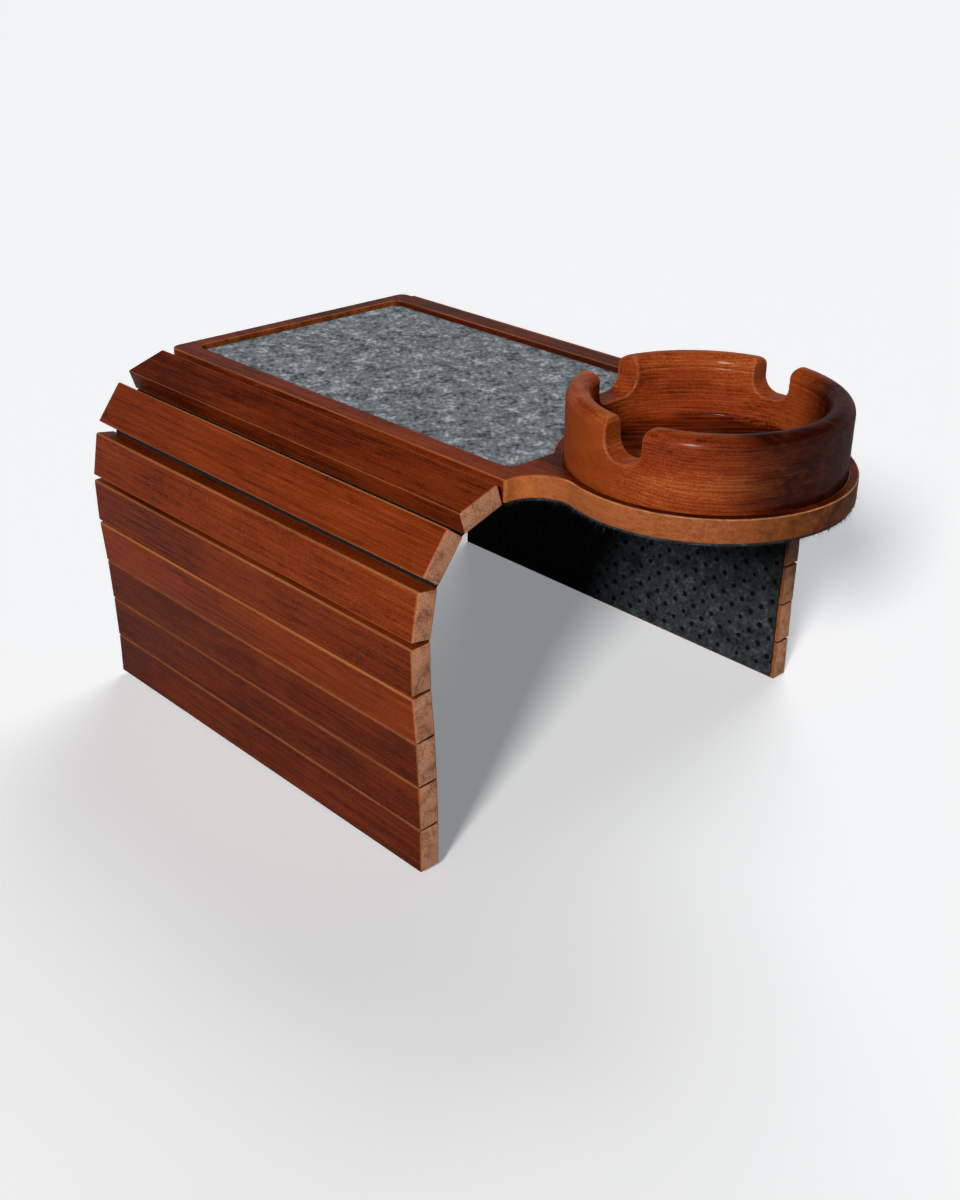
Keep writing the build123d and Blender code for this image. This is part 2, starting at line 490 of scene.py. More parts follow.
def band(tree, value, low, high, to_low=0.0, to_high=1.0):
    """Value carried from one range to another, with smooth ends."""
    values = {"Value": value, "From Min": low, "From Max": high, "To Min": to_low, "To Max": to_high}
    return place(tree, "ShaderNodeMapRange", values, interpolation_type="SMOOTHSTEP").outputs["Result"]


def mixed(tree, share, first, second, blend="MIX"):
    """Two colours mixed by a share."""
    values = {"Factor": share, 6: first, 7: second}
    return place(
        tree, "ShaderNodeMix", values, data_type="RGBA", blend_type=blend, clamp_factor=True
    ).outputs[2]


def shader_group(name, inputs, outputs):
    """An empty node group with its sockets, and its input and output nodes."""
    group = bpy.data.node_groups.new(name, "ShaderNodeTree")
    for label, kind, default in inputs:
        socket = group.interface.new_socket(label, in_out="INPUT", socket_type=kind)
        if default is not None:
            socket.default_value = default
    for label, kind in outputs:
        group.interface.new_socket(label, in_out="OUTPUT", socket_type=kind)
    return group, group.nodes.new("NodeGroupInput").outputs, group.nodes.new("NodeGroupOutput")


COLOUR, VALUE, VECTOR = "NodeSocketColor", "NodeSocketFloat", "NodeSocketVector"


def stained_wood_group():
    """Wood under a red-brown stain, drawn on the timber's own coordinates, with Y along the grain.

    The tone is a half, plus slow blotches where the stain took unevenly, rings from a wave of the
    warped distance to the pith, and two sizes of streak drawn out along the grain. Short flecks
    and small smudges darken it. End grain shows where the surface faces along the grain, with
    open pores. Rubbed arrises and unstained faces are lighter, and on some arrises that lighter line
    is a painted highlight. The depth darkens the tone, from the stain and from painted shade, and
    the dark overlay of painted shade and darkening hides it all in the dark colour, a little unevenly.
    """
    group, given, out = shader_group(
        "stained wood",
        [
            ("Timber", VECTOR, None),
            ("Wear and highlight", VALUE, 0.0),
            ("Depth", VALUE, 0.0),
            ("Painted shade and darkening", VALUE, 0.0),
            ("End grain", VALUE, 0.0),
            ("Dark", COLOUR, linear("4A1C0C")),
            ("Stain", COLOUR, linear("8A3C1A")),
            ("Light", COLOUR, linear("A8592C")),
            ("Bare", COLOUR, linear("C07A45")),
            ("End", COLOUR, linear("A8714F")),
            ("Rings", VALUE, 0.1),
            ("Blotches", VALUE, 0.8),
            ("Lines", VALUE, 0.9),
        ],
        [("Color", COLOUR), ("Roughness", VALUE), ("Height", VALUE)],
    )
    ring_spacing = 2.3 * MM
    ring_warp = 12 * MM
    streak_share = 0.85
    timber = given["Timber"]
    # The scale of each noise is in waves a metre, across the grain and along it
    drift = noise(group, timber, (40, 6, 40), 3.0)
    split = place(group, "ShaderNodeSeparateXYZ", {0: timber}).outputs
    across = place(group, "ShaderNodeCombineXYZ", {0: split[0], 2: split[2]}).outputs[0]
    reach = place(group, "ShaderNodeVectorMath", {0: across}, operation="LENGTH").outputs["Value"]
    bent = sums(group, "MULTIPLY_ADD", drift, ring_warp, reach)
    wave = sums(group, "SINE", sums(group, "MULTIPLY", bent, 2 * math.pi / ring_spacing), 0.0)
    streaks = noise(group, timber, (620, 11, 620), 3.0, 0.6)
    lines = noise(group, timber, (2600, 45, 2600), 2.0, 0.6)
    flecks = noise(group, timber, (1900, 240, 1900), 2.0, 0.6)
    speckle = noise(group, timber, (2300, 1400, 2300), 2.0, 0.75)
    blotch = noise(group, timber, (34, 13, 34), 3.0, 0.55, 0.4)
    smudge = noise(group, timber, (140, 75, 140), 4.0, 0.65, 0.6)
    fleck_mask = band(group, flecks, 0.58, 0.74)
    smudge_mask = band(group, smudge, 0.54, 0.8)
    drawn_middle = 0.5 * (1 + streak_share)
    drawn = sums(group, "MULTIPLY_ADD", streaks, streak_share, sums(group, "SUBTRACT", lines, drawn_middle))
    # The depth that darkens the tone is partly the stain's own and partly painted shade
    tone = total(
        group,
        0.5,
        (
            (blotch, 0.5, given["Blotches"]),
            (wave, 0, sums(group, "MULTIPLY", given["Rings"], 0.5)),
            (drawn, 0, given["Lines"]),
            (speckle, 0.5, 0.8),
            (fleck_mask, 0, -0.12),
            (smudge_mask, 0, -0.2),
            (given["Depth"], 0, -1.0),
        ),
    )
    colour = mixed(group, band(group, tone, 0.0, 0.5), given["Dark"], given["Stain"])
    colour = mixed(group, band(group, tone, 0.5, 1.0), colour, given["Light"])
    sooty = total(group, speckle, ((smudge, 0.5, -1.2),))
    pores = band(group, sooty, 0.25, 0.62, to_low=0.3)
    colour = mixed(group, sums(group, "MULTIPLY", given["End grain"], pores), colour, given["End"])
    # Rubbed arrises lighten towards the unstained colour; on the lobe's, the board's, the rests' and the
    # slats' arrises this line is also a painted highlight
    worn_and_highlight = sums(group, "MULTIPLY", given["Wear and highlight"], band(group, streaks, 0.3, 0.65, to_low=0.55))
    colour = mixed(group, worn_and_highlight, colour, given["Bare"])
    # A dark overlay: painted shade on the lobe, the sunk walls and the bowl, and darkening on the slats
    second = sums(group, "MULTIPLY", given["Painted shade and darkening"], sums(group, "ADD", smudge, 0.5))
    colour = mixed(group, second, colour, given["Dark"])
    shade = band(group, speckle, 0.25, 0.75, to_low=0.8, to_high=1.2)
    grey = place(group, "ShaderNodeCombineColor", {0: shade, 1: shade, 2: shade}).outputs[0]
    colour = mixed(group, 1.0, colour, grey, "MULTIPLY")
    feed(
        group,
        out,
        {
            "Color": colour,
            "Roughness": total(group, 0.4, ((streaks, 0, 0.2), (given["End grain"], 0, 0.22))),
            "Height": total(group, 0.0, ((speckle, 0, 0.3), (fleck_mask, 0, -0.5), (lines, 0, 0.5))),
        },
    )
    return group


def felt_group():
    """Pressed wool in three tones: fibres over clumps over soft clouds.

    The fibres are thin noises drawn out along directions 60 degrees apart, of which the strongest
    is kept. The clumps are drawn out a little along the nap. Glued is painted shade, which darkens
    the felt's side that shows in the gaps between the slats.
    """
    group, given, out = shader_group(
        "pressed felt",
        [
            ("Place", VECTOR, None),
            ("Dark", COLOUR, linear("3B4348")),
            ("Middle", COLOUR, linear("6E767C")),
            ("Light", COLOUR, linear("A9B0B5")),
            ("Clouds", VALUE, 0.5),
            ("Fibres", VALUE, 0.6),
            ("Painted gap shade", VALUE, 0.0),
        ],
        [("Color", COLOUR), ("Roughness", VALUE), ("Height", VALUE)],
    )
    fibre_turns = (12, 72, 132)
    nap_turn = -46
    clump_contrast = 0.72
    strands = None
    for turn in fibre_turns:
        fibre = noise(group, turned(group, given["Place"], turn), (300, 1900, 1900), 2.0, 0.6, 0.5)
        strands = fibre if strands is None else sums(group, "MAXIMUM", strands, fibre)
    clump = noise(group, turned(group, given["Place"], nap_turn), (340, 480, 480), 2.0, 0.5)
    cloud = noise(group, given["Place"], 120.0, 3.0, 0.6, 0.5)
    parts = [(strands, 0.6, given["Fibres"]), (cloud, 0.5, given["Clouds"]), (given["Painted gap shade"], 0, -0.5)]
    tone = sums(group, "MULTIPLY_ADD", clump, clump_contrast, (1 - clump_contrast) / 2)
    tone = total(group, tone, parts)
    colour = mixed(group, band(group, tone, 0.28, 0.5), given["Dark"], given["Middle"])
    colour = mixed(group, band(group, tone, 0.5, 0.78), colour, given["Light"])
    rough = band(group, tone, 0.2, 0.9, to_low=0.82, to_high=0.98)
    feed(group, out, {"Color": colour, "Roughness": rough, "Height": tone})
    return group


wood_group = stained_wood_group()
felt_pattern = felt_group()


def bumped(tree, height, strength, distance):
    """A normal from a height."""
    values = {"Height": height, "Strength": strength, "Distance": distance}
    return place(tree, "ShaderNodeBump", values).outputs["Normal"]


def new_material(name, base):
    """An empty node material with its principled shader."""
    material = bpy.data.materials.new(name)
    material.use_nodes = True
    material.diffuse_color = base
    tree = material.node_tree
    return material, tree, tree.nodes["Principled BSDF"]


def kept_value(tree, label, output="Fac"):
    """What a piece keeps for each point under a label."""
    return place(tree, "ShaderNodeAttribute", attribute_name=label).outputs[output]


def patterned(tree, shader, group, values, strength, distance):
    """Sets a group's inputs and lays its colour, roughness and height on the shader."""
    pattern = place(tree, "ShaderNodeGroup", node_tree=group)
    feed(tree, pattern, values)
    made = pattern.outputs
    normal = bumped(tree, made["Height"], strength, distance)
    feed(tree, shader, {"Base Color": made["Color"], "Roughness": made["Roughness"], "Normal": normal})


def wood_material(name, grain, colours, rings, blotches, lines, lacquer, gloss):
    """Stained beech with a thin lacquer. grain is the direction of the grain on the finished piece.

    lacquer is how much of it there is, and gloss is its roughness.
    """
    material, tree, shader = new_material(name, colours["Stain"])
    facing = tree.nodes.new("ShaderNodeTexCoord").outputs["Normal"]
    along = place(tree, "ShaderNodeVectorMath", {0: facing, 1: grain}, operation="DOT_PRODUCT")
    values = {
        "Timber": kept_value(tree, "timber", "Vector"),
        "Wear and highlight": kept_value(tree, "wear_and_highlight"),
        "Depth": kept_value(tree, "stain_and_painted_shade_depth"),
        "Painted shade and darkening": kept_value(tree, "painted_shade_and_darkening"),
        "End grain": band(tree, sums(tree, "ABSOLUTE", along.outputs["Value"], 0.0), 0.55, 0.95),
        "Rings": rings,
        "Blotches": blotches,
        "Lines": lines,
    }
    patterned(tree, shader, wood_group, values | colours, strength=0.25, distance=0.12 * MM)
    shader.inputs["Coat Weight"].default_value = lacquer
    shader.inputs["Coat Roughness"].default_value = gloss
    shader.inputs["Coat IOR"].default_value = 1.9
    shader.inputs["Specular IOR Level"].default_value = 0.02
    return material


def felt_material(name, colours, clouds, fibres, sheen, bump):
    """Pressed wool felt, matt with a faint sheen from its raised fibres."""
    material, tree, shader = new_material(name, colours["Middle"])
    values = {
        "Place": kept_value(tree, "cloth", "Vector"),
        "Painted gap shade": kept_value(tree, "painted_gap_shade"),
        "Clouds": clouds,
        "Fibres": fibres,
    }
    patterned(tree, shader, felt_pattern, values | colours, strength=bump, distance=0.35 * MM)
    shader.inputs["Sheen Weight"].default_value = sheen
    shader.inputs["Sheen Roughness"].default_value = 0.5
    shader.inputs["Specular IOR Level"].default_value = 0.05
    return material


def rubber_material():
    """Black printed rubber with a slightly grainy face."""
    material, tree, shader = new_material("grip rubber", linear("0E0F10"))
    grain = noise(tree, tree.nodes.new("ShaderNodeTexCoord").outputs["Object"], 2500.0, 3.0)
    colour = mixed(tree, grain, linear("060708"), linear("121315"))
    rough = band(tree, grain, 0.2, 0.8, to_low=0.75, to_high=0.95)
    normal = bumped(tree, grain, strength=0.3, distance=0.1 * MM)
    feed(tree, shader, {"Base Color": colour, "Roughness": rough, "Normal": normal})
    shader.inputs["Specular IOR Level"].default_value = 0.04
    return material


def palette(**codes):
    """Colours for a group's inputs, from their sRGB hex codes."""
    return {label: linear(code) for label, code in codes.items()}


# Finishes

bowl_turn = math.radians(-42)
bowl_grain = np.array([math.cos(bowl_turn), math.sin(bowl_turn), 0.0])
# Each finish's unstained colour also serves as the painted highlight on rubbed arrises
board_stain = palette(Dark="3C1206", Stain="7C2F10", Light="9C481C", Bare="E4A870", End="C66A2E")
slat_stain = palette(Dark="401306", Stain="863613", Light="AA5425", Bare="BE7849", End="E2A582")
# The bowl's dark colour is also what its painted shade darkens to on the side away from the light
bowl_stain = palette(Dark="2E0B04", Stain="8E3815", Light="B8642F", Bare="C07A4C", End="9C471B")
inlay_wool = palette(Dark="30373D", Middle="6F7880", Light="BCC3CA")
backing_wool = palette(Dark="1B1E20", Middle="31373A", Light="50595F")
board_wood = wood_material(
    "board wood", (0, 1, 0), board_stain, rings=0.10, blotches=1.1, lines=0.9, lacquer=0.05, gloss=0.25
)
slat_wood = wood_material(
    "slat wood", (0, 1, 0), slat_stain, rings=0.06, blotches=0.75, lines=1.0, lacquer=0.04, gloss=0.25
)
bowl_wood = wood_material(
    "bowl wood", tuple(bowl_grain), bowl_stain, rings=0.16, blotches=1.7, lines=0.7, lacquer=0.045, gloss=0.18
)
inlay_felt = felt_material("inlay felt", inlay_wool, clouds=0.9, fibres=0.1, sheen=0.1, bump=0.35)
backing_felt = felt_material("backing felt", backing_wool, clouds=0.9, fibres=0.25, sheen=0.03, bump=0.5)
grip_rubber = rubber_material()


# Board


def shaded_side(points):
    """How near points lie to the side of the lobe and bowl away from the light, where the painted shade is
    darkest, from 0 to 1.
    """
    angle = np.degrees(np.arctan2(points[:, 1] - bowl_axis_y, points[:, 0])) % 360
    return np.exp(-((np.abs(angle - shaded_side_middle) / shaded_side_reach) ** shaded_side_sharpness))


def build_board():
    """The board: walls round its outline and down into its recess and seat, with flats between them.

    Painted shade darkens the land round the bowl's seat and the right rim. The stain lies deep on
    the long walls, and thin on the walls at the ends and round the lobe. A dark overlay of painted
    shade lies on the sunk walls and on the lobe's side away from the light.
    """
    insets, heights, wear_and_highlight = wall_profile(board_bottom, board_top, underside_arris_radius, board_arris_radius)
    outer = swept(board_outline, insets, heights, wear_and_highlight)
    recess = sunk_wall(recess_outline, recess_arris_radius, recess_floor)
    seat = sunk_wall(seat_outline, seat_arris_radius, seat_floor)
    points, faces, wear_and_highlight = joined([outer, recess, seat])
    recess_start = len(outer[0])
    seat_start = recess_start + len(recess[0])
    line, recess_line, seat_line = [len(plan(0)) for plan in (board_outline, recess_outline, seat_outline)]
    rim = np.arange(recess_start - line, recess_start)
    recess_rim = recess_start + np.arange(recess_line)
    seat_rim = seat_start + np.arange(seat_line)
    top = np.concatenate([rim, recess_rim, seat_rim])
    faces.extend(top[filled([points[rim], points[recess_rim], points[seat_rim]], True)].tolist())
    recess_foot = np.arange(seat_start - recess_line, seat_start)
    seat_foot = np.arange(len(points) - seat_line, len(points))
    faces = capped(points, faces, ((np.arange(line), False), (recess_foot, True), (seat_foot, True)))
    number = np.arange(len(points))
    right, height = points[:, 0] > 0, points[:, 2]
    from_axis = np.hypot(points[:, 0], points[:, 1] - bowl_axis_y)
    ends = np.abs(points[:, 1]) > far_end - MM
    land = (from_axis < lobe_radius - board_arris_radius) & (height > board_bottom + MM)
    wall = (number < recess_start) & (height < board_top - board_arris_radius / 2)
    sunk = (number >= recess_start) & (height < board_top - recess_arris_radius / 2)
    # Painted shade darkens the land round the bowl's seat, shadowed by the bowl, and the right rim, on the
    # side away from the light
    depth = np.where(land, land_shade_depth, np.where(right, right_rim_shade_depth, left_rim_depth))
    depth = np.where(wall, np.where(ends, end_wall_depth, long_wall_depth), depth)
    # The lobe's arrises are rubbed most and carry a painted highlight line
    wear_and_highlight *= np.where(from_axis < lobe_radius + MM, lobe_wear_and_highlight, board_wear_and_highlight)
    wear_and_highlight = np.where(wall & ends, end_wall_wear, wear_and_highlight)
    # The dark overlay on the board is painted shade: on the lobe's side away from the light, and down the
    # sunk walls of the recess and seat
    painted_shade = np.where(wall & ends, lobe_painted_shade * shaded_side(points), sunk_wall_painted_shade * sunk)
    values = {"timber": points + board_cut, "wear_and_highlight": wear_and_highlight, "stain_and_painted_shade_depth": depth, "painted_shade_and_darkening": painted_shade}
    make_piece("board", points, faces, "board", board_wood, "board_wood", ["tray_board"], **values)


build_board()


def build_inlay():
    """The felt panel: a wall round the recess's outline, a little inside it, closed flat above and below."""
    insets, heights, wear_and_highlight = wall_profile(recess_floor, inlay_top, pressed_edge_radius, inlay_edge_radius)
    points, faces, _ = swept(
        lambda inset: recess_outline(-inlay_clearance - inset), insets, heights, wear_and_highlight
    )
    faces = slab_faces(points, faces, len(recess_outline(0)))
    kept = plain_felt(points)
    piece = make_piece(
        "felt_panel", points, faces, "board", inlay_felt, "inlay_felt", ["recess_felt"], **kept
    )


build_inlay()


# Bowl


def rounded_union(first, second, radius):
    """Signed distance to two forms joined, with a fillet of a given radius between them."""
    near = np.hypot(np.maximum(radius - first, 0), np.maximum(radius - second, 0))
    return np.maximum(radius, np.minimum(first, second)) - near


def rounded_common(first, second, radius):
    """Signed distance to what two forms share, with its arris rounded to a given radius."""
    near = np.hypot(np.maximum(radius + first, 0), np.maximum(radius + second, 0))
    return np.minimum(-radius, np.maximum(first, second)) + near


def notch_space(across, height, half_width):
    """Signed distance to the space of a rest: a slot with round floor corners and round lips."""
    beside = np.abs(across) - (half_width - notch_floor_radius)
    below = notch_floor + notch_floor_radius - height
    slot = np.hypot(np.maximum(beside, 0), np.maximum(below, 0))
    slot += np.minimum(np.maximum(beside, below), 0) - notch_floor_radius
    return rounded_union(slot, bowl_top + notch_lip_rise - height, notch_lip_radius)


def rest_space(points):
    """Signed distance to the space of the nearest rest. Each runs outwards from the bowl's axis."""
    x, y, z = points[:, 0], points[:, 1] - bowl_axis_y, points[:, 2]
    nearest = np.full(len(points), 1.0)
    for direction, half_width in rests:
        cosine, sine = math.cos(math.radians(direction)), math.sin(math.radians(direction))
        space = notch_space(y * cosine - x * sine, z, half_width)
        nearest = np.where(x * cosine + y * sine > 0, np.minimum(nearest, space), nearest)
    return nearest


def tool_marks(height):
    """The turning tool's path up the inside wall: a wave of the height whose pitch wanders, from -1 to 1."""
    wander = 2 * np.sin(height / tool_mark_wander)
    return np.sin(2 * math.pi * height / tool_mark_pitch + wander)


def bowl_distance(points):
    """Signed distance to the bowl: a round-topped wall on a flat base, filleted inside, less its rests.

    The inside of the wall has a shallow groove under the bead, and the ridges of the tool's path.
    """
    z = points[:, 2]
    reach = np.hypot(points[:, 0], points[:, 1] - bowl_axis_y)
    wall = np.hypot(reach - wall_middle, np.maximum(z - bead_level, 0)) - bead_radius
    below_bead = bead_level - quirk_drop - z
    quirk = quirk_depth * np.exp(-((below_bead / quirk_depth) ** 2))
    ridges = tool_mark_height * (1 + tool_marks(z))
    inside = np.clip((wall_middle - reach) / (2 * MM), 0, 1)
    wall += inside * (quirk + ridges * np.clip(below_bead / MM, 0, 1))
    body = rounded_union(wall, z - bowl_floor, bowl_cove_radius)
    body = np.maximum(body, reach - bowl_radius)
    body = rounded_common(body, seat_floor - z, bowl_foot_radius)
    return rounded_common(body, -rest_space(points), notch_arris_radius)


def settled(points, distance, rounds=6, step=0.01 * MM, flattest=0.2):
    """Points moved along the steepest way onto the surface where a signed distance is zero.

    The square of its slope counts as no less than flattest, so that no point is thrown far.
    """
    shifts = np.eye(3) * step
    for _ in range(rounds):
        value = distance(points)
        slope = np.stack([distance(points + s) - distance(points - s) for s in shifts], axis=1) / (2 * step)
        points = points - slope * (value / np.maximum((slope**2).sum(axis=1), flattest))[:, None]
    return points


def half_rim(radius, crest, span, rim_steps, half_width):
    """Angles and heights along the rim's top line at one radius, from the middle of a rest out over a span.

    The line runs along the rest's floor, round its floor corner, up its side, over the lip and
    along the rim. crest is the rim's own height at this radius.
    """
    floor_steps, corner_steps, side_steps, lip_steps = 4, 10, 12, 13
    corner = notch_floor_radius
    floor = np.linspace(0, half_width - corner, floor_steps + 1)[:-1]
    turn = np.radians(np.linspace(-90, 0, corner_steps + 1))
    corner_across = half_width - corner + corner * np.cos(turn)
    corner_height = notch_floor + corner + corner * np.sin(turn)
    side_top = min(bowl_top - notch_lip_radius, crest)
    side = np.linspace(notch_floor + corner, side_top, side_steps + 1)[1:]
    lip_turn = np.radians(np.linspace(0, 90, lip_steps + 1)[1:])
    lip_across = half_width + notch_lip_radius * (1 - np.cos(lip_turn))
    lip_height = np.minimum(bowl_top - notch_lip_radius * (1 - np.sin(lip_turn)), crest)
    across = np.concatenate([floor, corner_across, np.full(side_steps, half_width), lip_across])
    height = np.concatenate([np.full(floor_steps, notch_floor), corner_height, side, lip_height])
    angle = np.arcsin(across / radius)
    rim = np.linspace(angle[-1], span, rim_steps + 1)[1:]
    return np.concatenate([angle, rim]), np.concatenate([height, np.full(rim_steps, crest)])


def half_base(span, rim_steps, half_width):
    """Evenly spread angles for the foot of the same columns, in step with the length of the rim's line."""
    angle, height = half_rim(wall_middle, bowl_top, span, rim_steps, half_width)
    lengths = np.hypot(np.diff(angle) * wall_middle, np.diff(height))
    along = np.concatenate([[0], np.cumsum(lengths)])
    return along / along[-1] * span


def round_the_bowl(half, steps_per_degree=0.75):
    """A half line from each rest to the middle of the rim beside it, set all the way round the bowl."""
    angles, heights = [], []
    first_direction, first_width = rests[0]
    for (start, width), (end, next_width) in zip(rests, rests[1:] + ((first_direction + 360, first_width),)):
        span = math.radians(end - start) / 2
        steps = round(steps_per_degree * math.degrees(span))
        angle, height = half(span, steps, width)
        next_angle, next_height = half(span, steps, next_width)
        angles += [math.radians(start) + angle[:-1], math.radians(end) - next_angle[::-1][:-1]]
        heights += [height[:-1], next_height[::-1][:-1]]
    return np.concatenate(angles), np.concatenate(heights)


def ring_row(angle, radius, height):
    """Points at given angles, radii and heights round the bowl's axis."""
    height = np.broadcast_to(height, angle.shape)
    return np.stack([radius * np.cos(angle), bowl_axis_y + radius * np.sin(angle), height], axis=1)


def build_bowl():
    """The bowl's skin from the middle of its underside, up, over the rim and down to its floor's middle.

    Rows up the outer wall and down the inner one are spread by a power of the way along, so that
    they lie closer together near the rim. A dark overlay of painted shade lies on the side away from
    the light and, less strong, on the near side of the rim's top. Painted shade darkens the hollow
    near the floor. The rests' edges are rubbed and carry a painted highlight, and the crests of the
    tool marks are rubbed.
    """
    outer_power, inner_power, worn_and_highlight_width = 0.6, 1.2, 0.55 * MM
    base_rows, outer_rows, bead_rows, inner_rows, cove_rows, floor_rows = 5, 21, 37, 63, 8, 11
    base, _ = round_the_bowl(lambda *half: (half_base(*half),) * 2)
    foot_radius = bowl_radius - bowl_foot_radius
    base_radii = np.linspace(bowl_pole_radius, foot_radius, base_rows)
    rows = [ring_row(base, radius, seat_floor) for radius in base_radii]
    outer_top = round_the_bowl(lambda *half: half_rim(bowl_radius, bead_level, *half))
    inner_top = round_the_bowl(lambda *half: half_rim(bowl_inner_radius, bead_level, *half))
    foot = seat_floor + bowl_foot_radius
    for share in np.linspace(0, 1, outer_rows + 1)[:-1] ** outer_power:
        angle = base + (outer_top[0] - base) * share
        rows.append(ring_row(angle, bowl_radius, foot + (outer_top[1] - foot) * share))
    for lean in np.radians(np.linspace(90, -90, bead_rows)):
        offset = bead_radius * math.sin(lean)
        crest = bead_level + bead_radius * math.cos(lean)
        line = round_the_bowl(lambda *half: half_rim(wall_middle + offset, crest, *half))
        rows.append(ring_row(line[0], wall_middle + offset, line[1]))
    cove_top = bowl_floor + bowl_cove_radius
    for share in np.linspace(0, 1, inner_rows + 1)[1:] ** inner_power:
        angle = inner_top[0] + (base - inner_top[0]) * share
        rows.append(ring_row(angle, bowl_inner_radius, inner_top[1] + (cove_top - inner_top[1]) * share))
    cove_centre = bowl_inner_radius - bowl_cove_radius
    for turn in np.radians(np.linspace(0, 90, cove_rows + 1)[1:]):
        radius = cove_centre + bowl_cove_radius * math.cos(turn)
        rows.append(ring_row(base, radius, cove_top - bowl_cove_radius * math.sin(turn)))
    floor_radii = np.linspace(cove_centre, bowl_pole_radius, floor_rows + 1)[1:]
    rows += [ring_row(base, radius, bowl_floor) for radius in floor_radii]
    points = settled(np.concatenate(rows), bowl_distance)
    faces = tube_faces(len(rows), len(base))
    centred = points - (0, bowl_axis_y, 0)
    height, reach = points[:, 2], np.hypot(centred[:, 0], centred[:, 1])
    across = np.array([-bowl_grain[1], bowl_grain[0], 0.0])
    timber = np.stack([centred @ across, centred @ bowl_grain, height * ring_stretch], axis=1) + bowl_cut
    # The rests' edges are rubbed and carry a painted highlight line
    wear_and_highlight = rest_wear_and_highlight * np.exp(-((rest_space(points) / worn_and_highlight_width) ** 2)) * rim_arris(reach, height)
    inside = (reach < bowl_inner_radius + MM) & (height < bead_level) & (height > bowl_floor + 2 * MM)
    wear_and_highlight += inside * tool_mark_wear * np.clip(tool_marks(height), 0, 1) ** 2
    # Painted shade on the top of the rim's near side
    shaded_crown = np.clip((height - bead_level) / bead_radius, 0, 1) * np.clip(-centred[:, 1] / bowl_radius, 0, 1)
    painted_shade = np.minimum(shaded_side(points) + crown_painted_shade * shaded_crown, thickest_painted_shade)
    # Painted shade darkens the bowl's hollow near its floor
    low = (reach < bowl_inner_radius) & (height < bowl_floor + 2 * bowl_cove_radius)
    values = {"timber": timber, "wear_and_highlight": wear_and_highlight, "stain_and_painted_shade_depth": hollow_shade_depth * low, "painted_shade_and_darkening": painted_shade}
    make_piece("bowl", points, faces, "bowl", bowl_wood, "bowl_wood", ["turned_bowl"], sharp=0, **values)


def rim_arris(reach, height, width=1.4 * MM):
    """How near a point lies to the edge where a rest breaks through the wall's faces, from 0 to 1."""
    depth = bead_radius - np.hypot(reach - wall_middle, np.maximum(height - bead_level, 0))
    return np.clip(1 - depth / width, 0, 1)


build_bowl()


# Flaps


def slat_places(flap, side):
    """Each slat's hinge point in the X-Z plane and its lean in radians, read from the frame.

    Hinge to hinge gives a slat's lean. The last slat's comes from the middle of its felt,
    which lies half the felt's thickness off the line down the slat.
    """
    hinges = [joints[f"{flap}_fold_{number}"]["pos_m"] for number in range(1, slat_count + 1)]
    hinges = np.array([(side * x, z) for x, _, z in hinges])
    low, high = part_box(f"{flap}_felt_{slat_count}")
    last = np.array([side * (low.x + high.x) / 2, (low.z + high.z) / 2]) - hinges[-1]
    steps = np.diff(hinges, axis=0)
    leans = np.arctan2(-steps[:, 1], steps[:, 0])
    tilt = math.asin(felt_thickness / 2 / np.hypot(*last))
    return hinges, np.append(leans, math.atan2(-last[1], last[0]) + tilt)


def on_slat(hinge, lean, side, down, along, out):
    """Points given down the slat, along it and out of its face, in the tray's own frame."""
    x = hinge[0] + down * math.cos(lean) + out * math.sin(lean)
    z = hinge[1] - down * math.sin(lean) + out * math.cos(lean)
    return np.stack([side * x, along, z], axis=1)


def slat_outline(inset, least_corner=0.15 * MM):
    """A slat in plan with small round corners, drawn in by inset, as distances down and along it."""
    corner = max(slat_corner_radius - inset, least_corner)
    across, long = slat_width / 2 - inset - corner, slat_length / 2 - inset - corner
    corner_arc = arc((across, long), corner, 0, 90, count=6)
    other = corner_arc[::-1] * (-1, 1)
    return np.concatenate([corner_arc, other, -corner_arc, -other])


